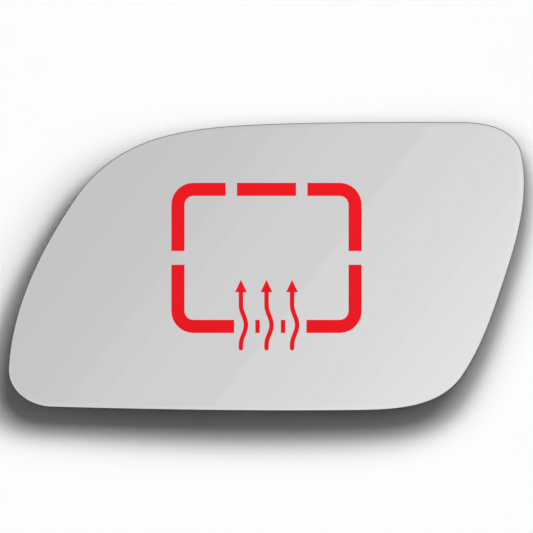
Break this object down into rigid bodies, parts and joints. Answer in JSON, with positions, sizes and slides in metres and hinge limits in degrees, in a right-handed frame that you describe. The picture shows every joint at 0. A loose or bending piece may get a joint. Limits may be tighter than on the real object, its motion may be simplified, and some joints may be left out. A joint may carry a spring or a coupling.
{
  "type": "car door mirror glass",
  "caption": "Convex heated door mirror pane with a red heating sign, bonded to a clip-on carrier with a clip ring and spade terminals.",
  "frame": {"origin": "on the clip ring's axis, at the ring's mouth, under the middle of the pane's box", "axes": "+Z is the mirror side, square to the middle of the pane; +X is the pane's outer end, right in the picture; +Y is its top edge"},
  "size_m": [0.174, 0.0974, 0.0153],
  "materials": {
    "mirror": "polished",
    "red_film": "satin film",
    "foil": "smooth film",
    "track": "etched foil",
    "foam": "closed-cell foam",
    "brass": "stamped sheet",
    "steel": "bright",
    "black_plastic": "fine moulded grain"
  },
  "bodies": {
    "root": {"mirror_glass": "mirror", "heating_symbol": "red_film", "heater_foil": "foil", "heating_track": "track", "adhesive_pad": "foam", "left_terminal": "brass", "right_terminal": "brass", "terminal_rivets": "steel", "glass_carrier": "black_plastic", "clip_spring": "steel"}
  },
  "joints": []
}
